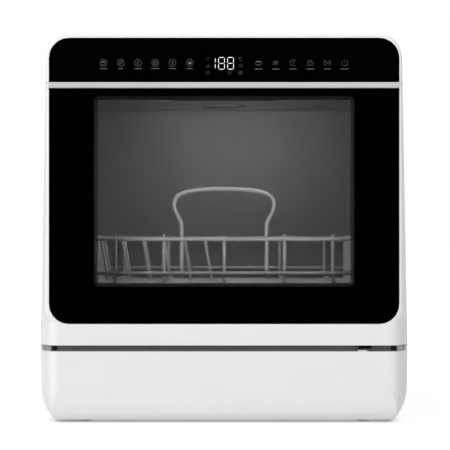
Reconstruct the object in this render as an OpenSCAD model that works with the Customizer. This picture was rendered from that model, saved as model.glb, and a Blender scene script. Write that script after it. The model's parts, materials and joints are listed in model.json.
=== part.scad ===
// Countertop dishwasher: a flared white casing with a black glass front, a
// drop-down door with a window, a slide-out wire rack and a wash system below.
// Millimetres. X is to the right seen from the front, the front faces -Y, Z is up.
// The origin is on the worktop, at the middle of the whole object's footprint.

/* [Body] */
// Width of the casing at its widest, near the bottom
body_w = 426.5; // [415:0.5:440]
// Height from the worktop to the top
body_h = 446; // [440:1:460]
// Depth from the door's front to the rear panel
body_d = 418; // [410:1:440]
// Half width of the casing at its top
top_half_w = 207.1; // [206:0.1:208]
// Radius of the casing's two top corners
corner_r = 26; // [20:1:32]
// Radius of the curve that draws the casing in at its foot
belly_r = 55; // [50:1:60]
// Height at which that curve starts
belly_z = 39.5; // [38:0.5:42]
// Thickness of the moulded casing walls
wall = 3; // [2.5:0.5:4]

/* [Door] */
// Thickness of the door
door_t = 40; // [38:1:42]
// Height of the door's bottom edge
door_z0 = 89.3; // [88:0.1:91]
// Height of the top of the metal grip strip
door_z1 = 391.2; // [388:0.1:392]
// Height of the grip strip's face
strip_h = 6.5; // [5:0.5:9]
// How far the grip strip stands proud of the glass
strip_proud = 8; // [6:1:10]
// Width of both black glass panels
panel_w = 402.5; // [398:0.5:403]
// Corner radius of the black glass
panel_r = 23; // [18:1:26]
// Bottom edge of the black glass
panel_z0 = 113.8; // [110:0.1:118]
// Half width of the clear window
window_half_w = 145; // [140:1:148]
// Height of the hinge axis
hinge_z = 96; // [95.5:0.1:96.5]
// Radius of the hinge pins
hinge_pin_r = 3; // [2.5:0.5:3]

/* [Rack] */
// Diameter of the coated rack wire
wire_d = 4.4; // [3.6:0.2:4.8]
// Half width of the rack, at the middle of its side wires
rack_half_w = 157; // [150:1:158]
// Depth of the rack
rack_d = 272; // [250:2:274]
// Height of the rack's rim wire
rim_z = 211; // [200:1:230]
// Height of the rack's middle wire
mid_z = 171; // [168:1:180]
// Number of plates that the tines hold
plate_count = 5; // [3:1:6]

/* [Wash system] */
// Reach of the lower spray arm from its middle
arm_reach = 142; // [120:1:150]
// Inside radius of the wash sump
sump_r = 42; // [36:1:44]
// Outside radius of the threaded water inlet
inlet_r = 13.2; // [13.2:0.1:13.3]
// Outside radius of the drain spigot
drain_r = 9.5; // [8:0.5:10]

/* [Hidden] */
$fn = 48;

// Body planes. The whole object, from grip strip to rear ports, is centred on Y = 0.
port_l = 14;
panel_in = 2;
// Half width of the flat part of the white front, below the glass
flat_half_w = 189;
front_y = strip_proud - (body_d + strip_proud + port_l) / 2;
back_y = front_y + body_d;
panel_y = back_y - panel_in;
door_back_y = front_y + door_t;
shell_y = door_back_y + 1.5;
frame_y = shell_y + 4.5;
body_z0 = 3;
half_w = body_w / 2;
base_half_w = half_w - 0.9;
base_top_z = door_z0 - 7;
door_top_z = door_z1 - 1.7;
strip_z0 = door_z1 - strip_h;
panel_half_w = panel_w / 2;
control_z0 = door_z1 + 0.7;
control_z1 = body_h - 3.4;
glass_t = 3.8;

// Tub planes
tub_half_w = 172;
tub_skin = 2.5;
tub_z0 = 131;
tub_z1 = 374;
tub_floor_z = 127;
tub_back_y = 150;
window_z0 = 160.8;
window_z1 = 370.9;

// Hinge, rack and wash positions
hinge_y = front_y + 10;
bracket_x = 196;
bracket_t = 5;
rack_front_y = door_back_y + 30 + wire_d / 2;
rack_back_y = rack_front_y + rack_d;
rack_low_z = 156;
floor_z = rack_low_z + 5.8;
wire_r = wire_d / 2;
arm_y = -8;
sump_pos = [95, 60];
pump_y = 60;
pump_z = 80;
fan_pos = [105, 70];
fill_x = -120;
fill_axis = [190, 443.4];
inlet_pos = [150, 45];
drain_pos = [100, 45];
gland_pos = [-150, 45];
icon_x0 = 39.4;
icon_step = 19.72;
icon_z = 413;
foot_x = 174.5;
foot_y = [-172, 165];

// ---------- shared shapes ----------

module box(low, high) {
    translate(low) cube(high - low);
}

module along_y(y0, y1) {
    translate([0, y1, 0]) rotate([90, 0, 0]) linear_extrude(y1 - y0) children();
}

module along_x(x0, x1) {
    translate([x0, 0, 0]) rotate([90, 0, 90]) linear_extrude(x1 - x0) children();
}

module mirrored_x() {
    children();
    mirror([1, 0, 0]) children();
}

// A rectangle from low to high with round corners of n flats each
module soft_rect(low, high, r, n = 5) {
    polygon(concat(
        arc(high[0] - r, high[1] - r, r, 0, 90, n), arc(low[0] + r, high[1] - r, r, 90, 180, n),
        arc(low[0] + r, low[1] + r, r, 180, 270, n), arc(high[0] - r, low[1] + r, r, 270, 360, n)));
}

module soft_frame(low, high, r, t) {
    difference() {
        soft_rect(low, high, r);
        soft_rect(low + [t, t], high - [t, t], max(r - t, 0.5));
    }
}

module cyl_y(pos, r, y0, y1) {
    translate([pos[0], y1, pos[1]]) rotate([90, 0, 0]) cylinder(r = r, h = y1 - y0);
}

module cyl_x(pos, r, x0, x1) {
    translate([x0, pos[0], pos[1]]) rotate([0, 90, 0]) cylinder(r = r, h = x1 - x0);
}

module cyl_z(pos, r, z0, z1) {
    translate([pos[0], pos[1], z0]) cylinder(r = r, h = z1 - z0);
}

// An eight-sided bar between two points, for rack wire
module bar(a, b, r = wire_r) {
    d = b - a;
    translate(a)
        rotate([0, acos(d[2] / norm(d)), atan2(d[1], d[0])])
            cylinder(r = r, h = norm(d), $fn = 8);
}

// A round hose through points that turn square corners, with quarter bends
module hose(points, r, bend) {
    last = len(points) - 1;
    for (i = [0:last - 1]) {
        d = unit(points[i + 1] - points[i]);
        a = points[i] + (i > 0 ? bend : 0) * d;
        b = points[i + 1] - (i + 1 < last ? bend : 0) * d;
        translate(a) rotate([0, acos(d[2]), atan2(d[1], d[0])]) cylinder(r = r, h = norm(b - a));
    }
    for (i = [1:last - 1]) {
        a = unit(points[i] - points[i - 1]);
        b = unit(points[i + 1] - points[i]);
        c = points[i] + bend * (b - a);
        n = cross(-b, a);
        multmatrix([[-b[0], a[0], n[0], c[0]], [-b[1], a[1], n[1], c[1]], [-b[2], a[2], n[2], c[2]],
                    [0, 0, 0, 1]])
            rotate_extrude(angle = 90) translate([bend, 0]) circle(r);
    }
}

function unit(v) = v / norm(v);

function arc(cx, cy, r, a0, a1, n) =
    [for (i = [0:n]) [cx + r * cos(a0 + (a1 - a0) * i / n), cy + r * sin(a0 + (a1 - a0) * i / n)]];

// Right half of the casing's front outline, drawn in by d, from its foot at z0 up to its top
function half_outline(d, z0) =
    let (foot = max(min(belly_z - z0, belly_r - d), 0))
    concat(
        arc(base_half_w - belly_r, belly_z, belly_r - d, -asin(foot / (belly_r - d)), 0, 6),
        [[half_w - d, door_z0]],
        arc(top_half_w - corner_r, body_h - corner_r, corner_r - d, 0, 90, 8));

function mirror_points(p) = [for (i = [len(p) - 1:-1:0]) [-p[i][0], p[i][1]]];

function reversed(p) = [for (i = [len(p) - 1:-1:0]) p[i]];

function outline(d = 0, z0 = body_z0) =
    let (half = half_outline(d, z0)) concat(half, mirror_points(half));

// How far a round edge of radius r draws the outline in, t behind the front plane
function edge_inset(r, t) = t < r ? r - sqrt(r * r - (r - t) * (r - t)) : 0;

// Half width of the casing's outline above its curved foot
function half_w_at(z) = half_w + (top_half_w - half_w) * max(z - door_z0, 0) / (body_h - corner_r - door_z0);

// Where the flat of the front ends at height z: just outside the glass, and further in below it
function flat_edge(z) =
    let (drop = panel_z0 + panel_r - z, around = panel_r + 0.3)
    drop <= 0 ? panel_half_w + 0.3
    : drop >= around ? flat_half_w
    : max(flat_half_w, panel_half_w - panel_r + sqrt(around * around - drop * drop));

// Radius of the front's side edge, for a reach g from the flat's end to the outline
function side_r(g, z) = g * (0.62 - 0.2 * min(max((z - panel_z0) / panel_r, 0), 1));

// Half width at depth t: a round edge that runs into a side flaring out to w at the door's back
function flare_x(w, x0, r, t) =
    let (g = w - x0, first = (g - r) / (door_t - r),
         slope = (g - r * sqrt(1 + first * first)) / (door_t - r),
         c = 1 / sqrt(1 + slope * slope), s = slope * c, t1 = r * (1 - s))
    t >= door_t ? w
    : t >= t1 ? w - (door_t - t) * slope
    : x0 + sqrt(max(r * r - (r - t) * (r - t), 0));

// How high the curved foot of the casing is, t behind the front plane
function foot_z(t) = max(belly_z - sqrt(pow(belly_r, 2) - pow(belly_r - t, 2)), body_z0);

// A solid through cross-sections, each a list of as many points, anticlockwise from the front
module loft(depths, sections) {
    n = len(sections[0]);
    last = len(sections) - 1;
    points = concat([for (i = [0:last], p = sections[i]) [p[0], depths[i], p[1]]],
                    [[0, depths[0], body_h / 2], [0, depths[last], body_h / 2]]);
    walls = [for (i = [0:last - 1], k = [0:n - 1])
        let (a = i * n + k, b = i * n + (k + 1) % n)
        for (f = [[a, b, b + n], [a, b + n, a + n]]) f];
    front = [for (k = [0:n - 1]) [(last + 1) * n, (k + 1) % n, k]];
    back = [for (k = [0:n - 1]) [(last + 1) * n + 1, last * n + k, last * n + (k + 1) % n]];
    polyhedron(points = points, faces = concat(front, walls, back));
}

// Right half of the front solid's outline at depth t, from its foot at z0 up to its top
function front_half(t, z0) =
    let (foot = max(asin(max(belly_z - z0, 0) / belly_r), 1),
         top_in = edge_inset(edge_r, t), top_z = body_h - corner_r,
         side_in = top_half_w - front_x(top_half_w, top_z, t))
    concat(
        [for (i = [0:6])
            let (a = -foot * (1 - i / 6), z = belly_z + belly_r * sin(a))
            [front_x(base_half_w - belly_r + belly_r * cos(a), z, t), z]],
        [for (z = side_z) [front_x(half_w_at(z), z, t), z]],
        [for (i = [0:8])
            let (a = 90 * i / 8, d = side_in * pow(cos(a), 2) + top_in * pow(sin(a), 2))
            [top_half_w - corner_r + (corner_r - d) * cos(a), top_z + (corner_r - d) * sin(a)]]);

function front_x(w, z, t) =
    let (x0 = flat_edge(z)) w <= x0 ? w : flare_x(w, x0, side_r(w - x0, z), t);

edge_r = 2.4;
side_z = concat([door_z0], [for (d = [23.2, 21.5, 19.4, 16.4, 12.5, 8, 3.5, 0]) panel_z0 + panel_r - d]);

// The casing's front solid from front_y back to y1
module front_block(y1, foot = false) {
    steps = concat([0, 0.15, 0.45, 0.9, 1.6, 2.4, 4, 6.5, 9.5, 16, door_t], [y1 - front_y]);
    depths = [for (i = [0:11]) if (i == 11 || steps[i] < y1 - front_y - 0.1) steps[i]];
    loft([for (t = depths) front_y + t],
         [for (t = depths)
             let (half = front_half(t, foot ? foot_z(min(t, 16)) : body_z0))
             concat(half, mirror_points(half))]);
}

// ---------- casing ----------

// Wraps the sides and top in one moulding, open at the front, rear and foot
module outer_shell() {
    color("white") difference() {
        along_y(shell_y, back_y) polygon(concat(outline(0), reversed(outline(wall))));
        fill_opening(body_h - 8, body_h + 1);
    }
}

module fill_opening(z0, z1) {
    translate([fill_x, 0, z0]) linear_extrude(z1 - z0) soft_rect([-47, 134], [47, 198], 8);
}

module vent_slots(x0, count, step, z0, z1) {
    for (i = [0:count - 1])
        along_y(panel_y - 4, panel_y + 1)
            soft_rect([x0 + i * step, z0], [x0 + i * step + 4, z1], 1.9, n = 3);
}

module rear_panel() {
    color("gainsboro") difference() {
        union() {
            along_y(panel_y - 3, panel_y) intersection() {
                polygon(outline(wall + 0.3));
                translate([-half_w, body_z0 + 6]) square([body_w, body_h]);
            }
            // stiffening bead pressed around the sheet
            along_y(panel_y - 7, panel_y - 3)
                soft_frame([-188, 24], [188, 424], 14, 3);
        }
        vent_slots(60, 14, 8, 392, 418);
        vent_slots(-170, 10, 8, 70, 105);
        cyl_y(inlet_pos, 12.4, panel_y - 8, panel_y + 1);
        cyl_y(drain_pos, 8.9, panel_y - 8, panel_y + 1);
        cyl_y(gland_pos, 7.4, panel_y - 8, panel_y + 1);
        for (p = screw_points()) cyl_y(p, 2, panel_y - 8, panel_y + 1);
    }
}

function screw_points() =
    [for (x = [-178, 0, 178], z = [16, 432]) if (!(x == 0 && z == 16)) [x * (z > 400 ? 0.96 : 1), z]];

module casing_screws() {
    color("silver") for (p = screw_points()) difference() {
        union() {
            cyl_y(p, 2, panel_y - 10, panel_y);
            cyl_y(p, 3.8, panel_y, panel_y + 1.8);
        }
        box([p[0] - 2.5, panel_y + 0.9, p[1] - 0.5], [p[0] + 2.5, panel_y + 3, p[1] + 0.5]);
        box([p[0] - 0.5, panel_y + 0.9, p[1] - 2.5], [p[0] + 0.5, panel_y + 3, p[1] + 2.5]);
    }
}

// The white front of the base, below the door
module base_fascia() {
    color("white") difference() {
        intersection() {
            front_block(shell_y, foot = true);
            box([-half_w, front_y - 1, body_z0 - 1], [half_w, shell_y, base_top_z]);
        }
        box([-half_w + 22, front_y + wall, belly_z], [half_w - 22, shell_y + 1, base_top_z - wall]);
        along_y(front_y + 18, shell_y + 1) intersection() {
            polygon(outline(9, body_z0 - 2));
            translate([-half_w, 0]) square([body_w, base_top_z - wall]);
        }
        // the reveal strip's seat
        box([-200, front_y + 18.2, base_top_z - wall - 1], [200, shell_y + 1, base_top_z + 1]);
    }
    // pale stop below the door's bumper
    color("white") box([154, front_y + 6, base_top_z], [164.5, front_y + 17, base_top_z + 1.4]);
}

module base_plate() {
    color("dimgray") difference() {
        union() {
            box([-184.8, front_y + 18.2, body_z0], [184.8, shell_y + 8, body_z0 + 3]);
            translate([0, 0, body_z0]) linear_extrude(3)
                soft_rect([-194, shell_y + 0.2], [194, back_y - 10], 2);
            for (x = [-1, 1], y = foot_y) cyl_z([x * foot_x, y], 8, body_z0, 16);
            box([-60, 30, 6], [-50, 90, 24]);
            box([-96, 30, 6], [-86, 90, 24]);
        }
        for (x = [-1, 1], y = foot_y) cyl_z([x * foot_x, y], 2.5, 0, 20);
        for (i = [-6:6]) box([i * 12 - 3, -110, 0], [i * 12 + 3, -60, 10]);
    }
}

module feet() {
    color("lightgray") for (x = [-1, 1], y = foot_y) difference() {
        cyl_z([x * foot_x, y], 19, 0.6, body_z0);
        cyl_z([x * foot_x, y], 7, 0, 2);
    }
}

module foot_pads() {
    color([0.1, 0.1, 0.1]) for (x = [-1, 1], y = foot_y) cyl_z([x * foot_x, y], 6.8, 0, 2);
}

// ---------- control head above the door ----------

module panel_2d(z0, z1) {
    intersection() {
        soft_rect([-panel_half_w, panel_z0], [panel_half_w, control_z1], panel_r);
        translate([-half_w, z0]) square([body_w, z1 - z0]);
    }
}

module top_fascia() {
    color("white") difference() {
        intersection() {
            front_block(shell_y);
            box([-half_w, front_y - 1, control_z0], [half_w, shell_y, body_h]);
        }
        along_y(front_y - 1, front_y + glass_t) panel_2d(control_z0 - 1, body_h);
        along_y(front_y + glass_t + 2.5, shell_y + 1)
            intersection() {
                polygon(outline(wall + 2.6));
                translate([-half_w, control_z0 + 2.5]) square([body_w, body_h]);
            }
        along_y(front_y, shell_y)
            soft_rect([-187, control_z0 + 5], [187, control_z1 - 6], 4);
    }
}

module control_glass() {
    color([0.02, 0.02, 0.02]) along_y(front_y, front_y + glass_t) panel_2d(control_z0, control_z1);
}

// The board behind the glass: its display box, and one sprung touch pad behind each symbol
module control_board() {
    color("darkgreen") difference() {
        box([-180, front_y + 12.2, icon_z - 15], [180, front_y + 13.8, icon_z + 15]);
        for (s = [-1, 1]) cyl_y([s * 172, icon_z], 1.7, front_y + 10, front_y + 16);
    }
    color([0.15, 0.15, 0.15])
        box([-24, front_y + glass_t + 0.5, icon_z - 14], [24, front_y + 12.2, icon_z + 13]);
    color("silver") for (s = [-1, 1], i = [0:5]) difference() {
        cyl_y([s * (icon_x0 + i * icon_step), icon_z], 4, front_y + glass_t + 0.1, front_y + 12.2);
        cyl_y([s * (icon_x0 + i * icon_step), icon_z], 3.2, front_y, front_y + 12);
    }
    color("ivory") along_y(front_y + glass_t + 0.1, front_y + glass_t + 0.5) {
        for (x = [-3, 7.4]) digit_eight(x);
        for (z = [icon_z - 6.4, icon_z + 1.2]) translate([-10.95, z]) square([1.3, 5.9]);
    }
}

module digit_eight(x) {
    for (z = [-7, 0, 7]) translate([x - 2.7, icon_z + 0.25 + z - 0.6]) square([5.4, 1.2]);
    for (s = [-1, 1], z = [-6.1, 0.9]) translate([x + s * 3.4 - 0.6, icon_z + 0.25 + z]) square([1.2, 5.2]);
}

// ---------- front frame, reveal and hinge ----------

// The dark strip seen between the door and the base, with slots for the hinge brackets
module reveal_trim() {
    color([0.3, 0.3, 0.3]) difference() {
        union() {
            box([-199.5, front_y + 18.3, base_top_z - wall], [199.5, front_y + 21, base_top_z + 0.1]);
            box([-205.2, front_y + 18.3, base_top_z + 0.1], [205.2, front_y + 21, door_z0 - 0.8]);
            // returns that close the gap's ends, further back
            mirrored_x() {
                box([203.2, front_y + 18.3, base_top_z + 0.1], [205.2, front_y + 38, door_z0 - 0.8]);
                box([203.2, front_y + 36, base_top_z + 0.1], [210.4, front_y + 38, door_z0 - 0.8]);
            }
            box([-199.5, front_y + 18.3, base_top_z - wall - 0.9],
                [199.5, shell_y, base_top_z - wall + 1]);
        }
        mirrored_x() box([bracket_x - 3.5, front_y, 60], [bracket_x + 3.5, shell_y + 1, door_z0]);
    }
}

module front_frame() {
    color("gainsboro") difference() {
        along_y(frame_y, frame_y + 4) intersection() {
            polygon(outline(wall + 0.2));
            translate([-half_w, 62]) square([body_w, body_h]);
        }
        along_y(frame_y - 1, frame_y + 5)
            soft_rect([-tub_half_w - tub_skin, tub_z0 - 7], [tub_half_w + tub_skin, tub_z1 + tub_skin], 0.5);
        box([-11, frame_y - 1, tub_z1 + 8], [11, frame_y + 5, tub_z1 + 18]);
        box([-150, frame_y - 1, 400], [150, frame_y + 5, 432]);
    }
}

// A black steel ear each side carries the door's hinge pin
module hinge_brackets() {
    color([0.08, 0.08, 0.08]) mirrored_x() difference() {
        union() {
            cyl_x([hinge_y, hinge_z], 4.4, bracket_x - bracket_t / 2, bracket_x + bracket_t / 2);
            along_x(bracket_x - bracket_t / 2, bracket_x + bracket_t / 2) {
                translate([hinge_y, hinge_z - 4.4]) square([frame_y - hinge_y, 9.4]);
                translate([front_y + 18.4, 66]) square([frame_y - front_y - 18.4, 35]);
            }
            box([bracket_x - 13, frame_y - 2, 66], [bracket_x + bracket_t / 2, frame_y, 104]);
        }
        cyl_x([hinge_y, hinge_z], hinge_pin_r + 0.05, bracket_x - 5, bracket_x + 5);
        for (z = [72, 98]) cyl_y([bracket_x - 8, z], 2, frame_y - 3, frame_y + 1);
    }
}

module hinge_pins() {
    color("silver") mirrored_x() cyl_x([hinge_y, hinge_z], hinge_pin_r, bracket_x - 8, bracket_x + 4.5);
}

module latch_switch() {
    color([0.2, 0.2, 0.2]) difference() {
        box([-16, frame_y + 4.2, tub_z1 + 4], [16, frame_y + 30, tub_z1 + 22]);
        box([-9.5, frame_y, tub_z1 + 8.5], [9.5, frame_y + 14, tub_z1 + 17.5]);
    }
}

// ---------- door ----------

module door_frame() {
    color("white") difference() {
        intersection() {
            front_block(door_back_y - 2);
            union() {
                box([-half_w, front_y - 1, door_z0], [half_w, door_back_y, strip_z0]);
                box([-half_w, front_y + 6, door_z0], [half_w, door_back_y, door_top_z]);
            }
        }
        along_y(front_y - 1, front_y + glass_t + 0.6) panel_2d(panel_z0, door_z1);
        // hollow, leaving solid corners for the hinge pins
        along_y(front_y + 7, door_back_y) difference() {
            translate([-197, door_z0 + wall]) square([394, door_top_z - door_z0 - 2 * wall]);
            for (s = [-1, 1]) translate([s * (bracket_x + 2) - 13, door_z0]) square([26, 19]);
        }
        along_y(front_y, door_back_y)
            soft_rect([-157, 149.5], [157, window_z1 + 7.6], 6);
        mirrored_x() {
            bracket_slot();
            cyl_x([hinge_y, hinge_z], hinge_pin_r, bracket_x - 8, bracket_x + 4.5);
        }
    }
}

module bracket_slot() {
    box([bracket_x - 3.2, front_y + 5, door_z0 - 1], [bracket_x + 3.2, door_back_y + 1, hinge_z + 8.2]);
}

module door_glass() {
    color([0.1, 0.1, 0.1, 0.6]) along_y(front_y, front_y + glass_t) panel_2d(panel_z0, strip_z0 - 0.1);
}

// The black print on the back of the glass, left clear at the window
module glass_print() {
    color([0.01, 0.01, 0.01]) along_y(front_y + glass_t, front_y + glass_t + 0.5) difference() {
        panel_2d(panel_z0 + 0.4, strip_z0 - 0.5);
        soft_rect([-window_half_w, window_z0], [window_half_w, window_z1], 4);
    }
}

// Metal ledge along the door's top edge, to pull the door down by
module handle_strip() {
    color("silver") along_x(-panel_half_w, panel_half_w)
        soft_rect([front_y - strip_proud, strip_z0], [front_y + 6, door_z1], 1, n = 3);
}

module window_tunnel() {
    color([0.05, 0.05, 0.05]) along_y(front_y + glass_t + 0.6, door_back_y - 6.1)
        soft_frame([-155.5, 151.5], [155.5, window_z1 + 6.4], 5, 2);
}

module inner_glass() {
    color([0.6, 0.65, 0.65, 0.4]) along_y(door_back_y - 6, door_back_y - 2)
        soft_rect([-155.5, 152], [155.5, window_z1 + 6.4], 5);
}

module door_liner() {
    color("darkgray") difference() {
        union() {
            along_y(door_back_y - 1.9, door_back_y) intersection() {
                polygon(outline(1));
                translate([-half_w, door_z0 + 0.5]) square([body_w, door_top_z - door_z0 - 1]);
            }
        }
        along_y(door_back_y - 4, door_back_y + 1)
            soft_rect([-window_half_w - 7, 155.6], [window_half_w + 7, window_z1 + 5.4], 6);
        box([-46, door_back_y - 4, 133], [46, door_back_y + 1, 152.8]);
        mirrored_x() bracket_slot();
        box([-8, door_back_y - 4, tub_z1 + 11], [8, door_back_y + 1, tub_z1 + 14]);
    }
}

// A shallow trough for detergent, sunk in the door below the window
module detergent_cup() {
    color("gray") difference() {
        union() {
            box([-45.8, door_back_y - 22, 134.2], [45.8, door_back_y, 151.4]);
            box([-49, door_back_y - 4, 132], [49, door_back_y - 1.9, 151.8]);
            // guides that hold the lid's edges
            for (z = [133.2, 151.2])
                box([-45.8, door_back_y - 1.9, z], [45.8, door_back_y + 3, z + 1.4]);
            for (z = [133.2, 150.2])
                box([-45.8, door_back_y + 2.2, z], [45.8, door_back_y + 3, z + 2.4]);
        }
        box([-43, door_back_y - 20, 136.2], [-3, door_back_y + 1, 149.6]);
    }
}

// Slides sideways over the trough
module detergent_lid() {
    color("dimgray") {
        box([-45, door_back_y + 0.1, 134.8], [-1, door_back_y + 2, 151]);
        box([-10, door_back_y + 2, 138], [-6, door_back_y + 5, 148]);
    }
}

// The small black block under the door's right side
module door_bumper() {
    color("black") box([154.5, hinge_y - 5, door_z0 - 3.7], [169.3, hinge_y + 2, door_z0]);
}

module door_strike() {
    color("silver") {
        box([-7.8, door_back_y - 2, tub_z1 + 11.2], [7.8, door_back_y + 14, tub_z1 + 13.8]);
        box([-14, door_back_y - 3.4, tub_z1 + 5], [14, door_back_y - 2, door_top_z - wall - 0.2]);
    }
}

// ---------- tub ----------

// Folded sheet: sides, ceiling and back
module tub_shell() {
    color("silver") {
        along_y(frame_y, tub_back_y) difference() {
            intersection() {
                soft_rect([-tub_half_w - tub_skin, 100], [tub_half_w + tub_skin, tub_z1 + tub_skin], 16);
                translate([-200, tub_z0]) square([400, 400]);
            }
            soft_rect([-tub_half_w, 90], [tub_half_w, tub_z1], 14);
        }
        along_y(tub_back_y, tub_back_y + tub_skin) intersection() {
            soft_rect([-tub_half_w - tub_skin, 100], [tub_half_w + tub_skin, tub_z1 + tub_skin], 16);
            translate([-200, tub_z0]) square([400, 400]);
        }
    }
}

module tub_floor() {
    color("gray") difference() {
        box([-tub_half_w - tub_skin, frame_y, 124], [tub_half_w + tub_skin, tub_back_y + tub_skin, tub_z0]);
        box([-tub_half_w + 1, frame_y + 7, tub_floor_z], [tub_half_w - 1, tub_back_y - 1, tub_z0 + 1]);
        cyl_z(sump_pos, sump_r, 120, 140);
        cyl_z([0, arm_y], 8, 120, 140);
    }
}

module tub_gasket() {
    color([0.12, 0.12, 0.12]) along_y(door_back_y + 0.3, frame_y)
        soft_frame([-tub_half_w - 9, tub_z0 - 8], [tub_half_w + 9, tub_z1 + 9], 12, 8);
}

// A channel each side for the rack's runners
module rack_rails() {
    color("gainsboro") mirrored_x() difference() {
        box([162, frame_y + 8, 150], [tub_half_w, tub_back_y - 6, 171]);
        box([161, frame_y + 7, rack_low_z], [169.5, tub_back_y - 10, 167]);
    }
}

module ceiling_nozzle() {
    color("gray") difference() {
        union() {
            cyl_z([0, arm_y], 26, tub_z1 - 2.5, tub_z1);
            cyl_z([0, arm_y], 8, tub_z1 + tub_skin + 0.1, tub_z1 + 10);
        }
        cyl_z([0, arm_y], 5, tub_z1 + 4, tub_z1 + 20);
        for (a = [0:45:315]) cyl_z([18 * cos(a), arm_y + 18 * sin(a)], 1.5, tub_z1 - 6, tub_z1 + 1);
    }
}

module interior_lamp() {
    color("white") translate([0, 0, tub_z1 - 1.6]) linear_extrude(1.6)
        soft_rect([-60, frame_y + 14], [60, frame_y + 24], 4);
}

// ---------- wash system ----------

module sump() {
    color([0.3, 0.3, 0.3]) difference() {
        union() {
            cyl_z(sump_pos, sump_r + 3, 66, 124);
            cyl_z(sump_pos, sump_r + 9, 120, 124);
            cyl_x([pump_y, pump_z], 12, 30, 60);
        }
        cyl_z(sump_pos, sump_r, 69, 125);
        cyl_x([pump_y, pump_z], 9, 29, 62);
    }
}

module coarse_filter() {
    color("silver") difference() {
        cyl_z(sump_pos, sump_r + 14, tub_floor_z, tub_floor_z + 1.2);
        cyl_z(sump_pos, 31, tub_floor_z - 1, tub_floor_z + 2);
        for (ring = [36, 41], a = [0:15:345])
            cyl_z(sump_pos + ring * [cos(a), sin(a)], 1.5, tub_floor_z - 1, tub_floor_z + 2);
    }
}

// A quarter turn frees the cylindrical filter from the sump
module micro_filter() {
    color("lightgray") translate([sump_pos[0], sump_pos[1], 0]) difference() {
        cyl_z([0, 0], 30.9, 74, tub_floor_z + 2.5);
        cyl_z([0, 0], 28.5, 76, tub_floor_z + 3);
        for (a = [0:30:150]) rotate([0, 0, a]) box([-40, -3, 82], [40, 3, 116]);
    }
    color("gray") translate([sump_pos[0], sump_pos[1], 0])
        box([-28.6, -3, tub_floor_z - 2], [28.6, 3, tub_floor_z + 7]);
}

module spray_stub() {
    color("gray") difference() {
        union() {
            cyl_z([0, arm_y], 8, 110, 152);
            cyl_z([0, arm_y], 14, tub_floor_z, 134);
            cyl_z([0, arm_y], 12, 150, 154.5);
        }
        cyl_z([0, arm_y], 5.5, 109, 148);
        for (a = [0:60:300])
            translate([0, arm_y, 142]) rotate([0, 90, a]) cylinder(r = 2, h = 12);
    }
}

module lower_spray_arm() {
    color([0.55, 0.57, 0.6]) difference() {
        union() {
            cyl_z([0, arm_y], 17, 134.3, 149.6);
            translate([0, arm_y, 137.5]) linear_extrude(8) for (s = [-1, 1]) hull() {
                translate([s * (arm_reach - 11), s * 6]) circle(11);
                circle(19);
            }
        }
        cyl_z([0, arm_y], 8.05, 130, 150);
        cyl_z([0, arm_y], 13, 139, 145);
        for (s = [-1, 1], i = [1:5])
            cyl_z([s * (24 + 21 * i), arm_y + s * (i % 2 == 0 ? 7 : -1)], 1.4, 141, 146);
        translate([0, arm_y, 139.2]) linear_extrude(4.6) for (s = [-1, 1]) hull() {
            translate([s * (arm_reach - 14), s * 6]) circle(7);
            translate([s * 8, 0]) circle(10);
        }
    }
}

module pump_volute() {
    color([0.25, 0.25, 0.25]) difference() {
        union() {
            cyl_x([pump_y, pump_z], 42, -2, 30);
            // outlet, and the chamber that shares the water out
            translate([14, pump_y - 32, pump_z]) cylinder(r = 10, h = 21);
            box([-14, -24, 100], [28, 27, 120]);
            box([-1.5, 20, 100], [28, 44, 120]);
        }
        cyl_x([pump_y, pump_z], 38, 2, 26);
        cyl_x([pump_y, pump_z], 5, -3, 3);
        cyl_x([pump_y, pump_z], 9, 25, 31);
        translate([14, pump_y - 32, pump_z]) cylinder(r = 7, h = 25);
        box([-11, -21, 103], [25, 24, 117]);
        box([1.5, 20, 103], [25, 41, 117]);
        cyl_z([0, arm_y], 8, 110, 121);
        cyl_x([arm_y, 110], 5, 20, 30);
    }
}

module pump_impeller() {
    color("beige") {
        cyl_x([pump_y, pump_z], 33, 5, 8);
        cyl_x([pump_y, pump_z], 10, 7, 22);
        for (a = [0:60:300])
            translate([0, pump_y, pump_z]) rotate([a, 0, 0]) box([7.5, 9, -1.5], [19, 31, 1.5]);
    }
    color("silver") cyl_x([pump_y, pump_z], 3.95, -86, 6);
}

module pump_motor() {
    color("dimgray") difference() {
        union() {
            cyl_x([pump_y, pump_z], 38, -92, -2.1);
            for (x = [-84, -40]) box([x, pump_y - 12, 6], [x + 18, pump_y + 12, 46]);
        }
        cyl_x([pump_y, pump_z], 4, -88, -1);
        for (a = [15:30:345])
            translate([0, pump_y, pump_z]) rotate([a, 0, 0]) box([-80, 35, -2], [-20, 40, 2]);
    }
}

// A heating ring on the pump's face, around its inlet
module flow_heater() {
    color("silver") difference() {
        union() {
            cyl_x([pump_y, pump_z], 36, 30, 36);
            box([30, pump_y - 8, pump_z - 41], [34, pump_y + 8, pump_z - 30]);
        }
        cyl_x([pump_y, pump_z], 20, 29, 37);
    }
}

// The riser to the ceiling nozzle, around the tub, and the drain's short hose
module hoses() {
    color([0.1, 0.1, 0.1]) {
        hose([[28, arm_y, 110], [165, arm_y, 110], [165, 172, 110], [165, 172, 400],
              [165, arm_y, 400], [0, arm_y, 400], [0, arm_y, tub_z1 + 10]], 8, 14);
        cyl_y(drain_pos, 11, 172, 186);
    }
}

module drain_pump() {
    color([0.2, 0.2, 0.25]) {
        cyl_y(drain_pos, 22, 122, 146);
        cyl_y(drain_pos, 15, 146, 172);
        box([84, 104, 30], [116, 122, 62]);
    }
}

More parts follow.
